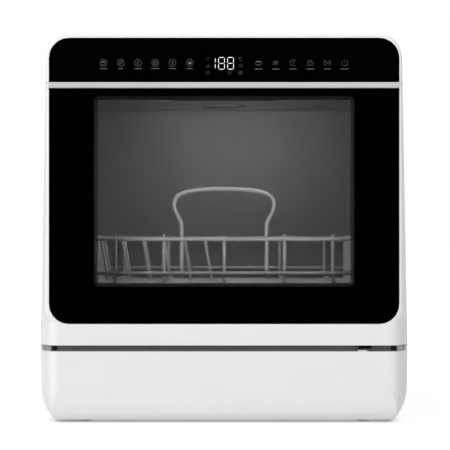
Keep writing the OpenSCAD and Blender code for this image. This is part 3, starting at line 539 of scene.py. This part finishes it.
# left six, from the middle outwards: programmes, each a small sign in a ring
apple, goblet, pan, bolt, leaf, hood = [-x for x in SYMBOL_X]
for x in SYMBOL_X:
    line(-x, ring(0, 0, 3.95), 1.25, closed=True)
fill(hood, [(-2.4, 0.1), (-1.3, 1.4), (0.2, 1.8), (1.6, 1.2), (2.4, 0.1), (1.3, 0.5), (-1.3, 0.5)])
line(hood, [(-2.4, -1.3), (0, -2.2), (2.4, -1.3)])
line(leaf, [(-1.6, -2.4), (-1.9, 0.2), (-0.2, 2.2), (1.9, 2.4), (1.6, 0.2), (0.1, -1.4),
            (-1.6, -1.0)])
line(leaf, [(-2.0, -2.6), (1.0, 1.2)])
line(bolt, [(0.7, 2.6), (-1.3, -0.1), (0.9, 0.3), (-0.7, -2.6)], 1.3)
line(pan, [(-2.6, -0.3), (-1.8, 1.2), (0, 1.9), (1.8, 1.2), (2.6, -0.3)], 1.3, closed=True)
line(pan, [(-2.3, -1.2), (-1.5, -2.3), (1.5, -2.3), (2.3, -1.2)])
line(goblet, [(-1.4, 2.2), (-1.1, 0.4), (0, -0.4), (1.1, 0.4), (1.4, 2.2)])
line(goblet, [(0, -0.4), (0, -2.0)])
line(goblet, [(-1.0, -2.1), (1.0, -2.1)])
fill(apple, ring(-0.6, -0.3, 1.4, 60, 300, 14))
fill(apple, ring(0.6, -0.3, 1.4, -120, 120, 14))
line(apple, [(0, 1.3), (0.7, 2.5)])

# right six, from the middle outwards
basin, drying, delay, lock, start, power = SYMBOL_X
line(basin, ring(0, 1.2, 3.9, 188, 352, 16), 1.4)
fill(basin, [(-3.3, 0.9), (3.3, 0.9), (2.6, 1.9), (0.9, 1.5), (-0.6, 2.1), (-2.4, 1.7)])
for k in (-1.9, 0, 1.9):
    line(drying, [(k - 1.1, -2.2), (k - 0.2, -0.8), (k - 0.6, 0.4), (k + 1.1, 2.3)], 1.3)
line(delay, ring(0, 0, 3.6, 20, 320))
line(delay, [(0, 2.2), (0, 0), (1.9, -0.5)])
line(lock, [(-3.0, -3.0), (-3.0, 0.9), (3.0, 0.9), (3.0, -3.0)], closed=True)
line(lock, [(-1.7, 0.9)] + ring(0, 2.0, 1.7, 180, 0, 10) + [(1.7, 0.9)])
line(lock, [(0, -0.4), (0, -1.9)])
line(start, [(-3.4, 2.8), (-3.4, -2.8), (0.9, 0)], closed=True)
line(start, [(1.9, 2.8), (1.9, -2.8)])
line(start, [(3.5, 2.8), (3.5, -2.8)])
line(power, ring(0, -0.2, 3.3, 122, 418))
line(power, [(0, 3.6), (0, 0.4)])
printed("touch_symbols", marks, "symbol_print")

# a plain bar under each symbol: height and half widths, from the middle outwards
BARS = {-1: (407.2, (3.6, 3.9, 4.7, 4.0, 2.7, 4.3)), 1: (406.7, (4.3, 4.0, 4.2, 4.5, 3.6, 4.6))}
BAR_HALF_H = 0.42
bars = []
for side, (z, widths) in BARS.items():
    low, high = z - BAR_HALF_H, z + BAR_HALF_H
    for x, w in zip(SYMBOL_X, widths):
        cx = side * x
        bars.append(patch([(cx - w, low), (cx + w, low), (cx + w, high), (cx - w, high)]))
printed("caption_bars", bars, "caption_print")

DIGIT_Z, DIGIT_H, DIGIT_W = 413.2, 6.75, 3.4        # middle, half height and half width
DIGIT_X, ONE_X = (-3.0, 7.4), -10.15                # the two eights and the one
SEGMENT_W, SEGMENT_GAP, ONE_GAP = 0.52, 0.72, 0.3


def segment(x0, z0, x1, z1):
    """One bar of a seven-segment digit, with pointed ends."""
    a, b = Vector((x0, z0)), Vector((x1, z1))
    d = unit(b - a)
    s = Vector((-d.y, d.x)) * (SEGMENT_W / 2)
    tip = d * (SEGMENT_W / 2)
    a, b = a + d * SEGMENT_GAP, b - d * SEGMENT_GAP
    return patch([tuple(p) for p in (a, a + tip + s, b - tip + s, b, b - tip - s, a + tip - s)])


foot, head = DIGIT_Z - DIGIT_H, DIGIT_Z + DIGIT_H
digits = []
for cx in DIGIT_X:
    left, right = cx - DIGIT_W, cx + DIGIT_W
    for z in (foot, DIGIT_Z, head):
        digits.append(segment(left, z, right, z))
    for x in (left, right):
        digits.append(segment(x, foot, x, DIGIT_Z))
        digits.append(segment(x, DIGIT_Z, x, head))
digits.append(segment(ONE_X, foot + ONE_GAP, ONE_X, DIGIT_Z - ONE_GAP))
digits.append(segment(ONE_X, DIGIT_Z + ONE_GAP, ONE_X, head - ONE_GAP))
printed("display_numbers", digits, "display_digits")

LAMP_Z = 413.3                      # the signs around the digits are placed from here
LEFT_X, RIGHT_X = -18.7, 18.9
lamps = []


def lamp(cx, dz, points, width, closed=True):
    lamps.append(ribbon(at(cx, LAMP_Z + dz, points), width, closed))


lamp(LEFT_X, 5.1, [(-1.3, -1.7), (0.1, 0.4), (1.5, 1.8)], 0.36, closed=False)
lamp(LEFT_X, -3.3, [(-1.9, -1.4), (1.3, -1.4), (1.8, 1.4), (-0.6, 0.9)], 0.36)
lamp(LEFT_X, -10.9, [(-1.9, 1.1), (-1.9, -1.2), (1.1, -1.2), (1.9, 1.1)], 0.36)
lamp(17.2, 6.2, ring(0, 0, 0.7, n=12), 0.3)
lamp(19.4, 5.0, ring(0, 0, 1.8, 50, 310, 14), 0.4, closed=False)
lamp(RIGHT_X, -2.8, ring(0, 0, 1.9, n=20), 0.36)
lamp(RIGHT_X, -10.9, ring(0, 0, 2.1, n=20), 0.34)
for a in (90, 210, 330):
    lamp(RIGHT_X, -10.9, [(0, 0), ring(0, 0, 1.6, a, a, 1)[0]], 0.5, closed=False)
lamp(6.7, -11.0, [(-1.8, -1.1), (-1.8, 1.3), (1.9, 1.3), (1.1, -1.1)], 0.34)
printed("indicator_signs", lamps, "symbol_print_dim")


# ---------- camera ----------

DISTANCE = 3.0                      # from the front
EYE_X, EYE_Z = 0.0010, 0.2276
VIEW_WIDTH = 0.5166                 # of the picture, at the front
SENSOR = 36.0

camera_data = bpy.data.cameras.new("camera")
camera = bpy.data.objects.new("camera", camera_data)
bpy.context.scene.collection.objects.link(camera)
camera.location = (EYE_X, FRONT - DISTANCE, EYE_Z)
camera.rotation_euler = (math.radians(90), 0, 0)
camera_data.sensor_width = SENSOR
camera_data.lens = SENSOR * DISTANCE / VIEW_WIDTH
camera_data.clip_end = 100.0
bpy.context.scene.camera = camera


# ---------- floor ----------

FLOOR_HALF = 20.0
FLOOR_LEVEL = 0.90                  # of the floor as a lit surface
GLOW_STRENGTH = 1.06                # of the white that the camera sees in its place
PAINTED_SHADOW_REACH = 0.03                      # how far the painted contact shadow round the feet reaches
GLOW_SHARE = (0.88, 1.0)            # share of the glow near the object and in the background
GLOW_REACH = (0.45, 1.1)            # the distances from the object that it changes between


def start_tree(owner):
    """The owner's node tree, emptied, with short calls."""
    owner.use_nodes = True
    owner.node_tree.nodes.clear()
    return Nodes(owner.node_tree)


def mix_shaders(n, fac, first, second):
    mix = n.new("ShaderNodeMixShader")
    n.join(fac, mix.inputs[0])
    n.join(first.outputs[0], mix.inputs[1])
    n.join(second.outputs[0], mix.inputs[2])
    return mix


floor_finish = bpy.data.materials.new("floor_white")
n = start_tree(floor_finish)
diffuse = n.new("ShaderNodeBsdfDiffuse", Color=even(FLOOR_LEVEL))
near = n.new("ShaderNodeAmbientOcclusion", Distance=PAINTED_SHADOW_REACH)
near.samples = 8
# painted contact shadow: the white the camera sees is darkened by ambient occlusion next to the
# base and feet
glow = n.new("ShaderNodeEmission", Strength=GLOW_STRENGTH,
             Color=n.ramp(near.outputs["AO"], [(0.04, even(0.42)), (0.45, even(1.0))]))
spot = n.new("ShaderNodeVectorMath", Vector=n.new("ShaderNodeTexCoord").outputs["Object"])
spot.operation = "LENGTH"
blank = n.new("ShaderNodeMapRange", Value=spot.outputs["Value"],
              From_Min=GLOW_REACH[0], From_Max=GLOW_REACH[1],
              To_Min=GLOW_SHARE[0], To_Max=GLOW_SHARE[1])
by_camera = n.new("ShaderNodeLightPath").outputs["Is Camera Ray"]
seen = n.math("MULTIPLY", by_camera, blank.outputs["Result"])
out = n.new("ShaderNodeOutputMaterial")
n.join(mix_shaders(n, seen, diffuse, glow).outputs[0], out.inputs["Surface"])

h = FLOOR_HALF
floor_mesh = bpy.data.meshes.new("floor")
floor_mesh.from_pydata([(-h, -h, 0), (h, -h, 0), (h, h, 0), (-h, h, 0)], [], [(0, 1, 2, 3)])
floor_mesh.update()
floor_mesh.materials.append(floor_finish)
floor = bpy.data.objects.new("floor", floor_mesh)
bpy.context.scene.collection.objects.link(floor)
floor.visible_glossy = False


# ---------- surroundings ----------

AMBIENT = 0.29                      # light from all round

world = bpy.data.worlds.new("studio")
bpy.context.scene.world = world
n = start_tree(world)
path = n.new("ShaderNodeLightPath")
room = n.new("ShaderNodeBackground", Color=even(1.0), Strength=AMBIENT)
white = n.new("ShaderNodeBackground", Color=even(1.0), Strength=1.0)
# what glossy surfaces see: a pale studio with a black flag around the camera
toward = n.new("ShaderNodeSeparateXYZ", Vector=n.new("ShaderNodeTexCoord").outputs["Generated"])
flag = n.ramp(n.math("MULTIPLY", toward.outputs["Y"], -1.0),
              [(0.90, (0.8, 0.81, 0.82, 1)), (0.975, even(0.0))])
studio = n.new("ShaderNodeBackground", Color=flag, Strength=1.0)
reflected = mix_shaders(n, path.outputs["Is Glossy Ray"], room, studio)
out = n.new("ShaderNodeOutputWorld")
n.join(mix_shaders(n, path.outputs["Is Camera Ray"], reflected, white).outputs[0],
       out.inputs["Surface"])


# ---------- light ----------

# name, place, aimed at, width, height, watts, seen in reflections
LIGHTS = (
    ("key_left", (-3.14, -1.05, 1.4), (0, 0, 0.24), 2.2, 2.2, 50, True),
    ("front_fill", (0.35, -3.4, 1.1), (0, 0, 0.22), 2.0, 2.0, 51.2, False),
    ("top_soft", (0, 0.1, 1.9), (0, 0, 0.3), 1.6, 1.6, 10, True),
    ("tub_lamp", (0, -0.135, 0.366), (0, 0.06, 0.15), 0.16, 0.02, 0.5, False),
    ("wall_glow", (0.01, 0.0, 0.33), (0.01, 0.15, 0.325), 0.16, 0.04, 0.27, False),
    ("window_light", (0.01, -0.165, 0.258), (0.01, 0.1, 0.258), 0.24, 0.17, 0.32, False),
)
for name, place, target, width, height, watts, glossy in LIGHTS:
    data = bpy.data.lights.new(name, "AREA")
    data.shape = "RECTANGLE"
    data.size = width
    data.size_y = height
    data.energy = watts
    light = bpy.data.objects.new(name, data)
    light.location = place
    aim = Vector(target) - Vector(place)
    light.rotation_euler = aim.to_track_quat("-Z", "Y").to_euler()
    light.visible_glossy = glossy
    light.visible_camera = False
    bpy.context.scene.collection.objects.link(light)

scene = bpy.context.scene
scene.view_settings.view_transform = "Standard"
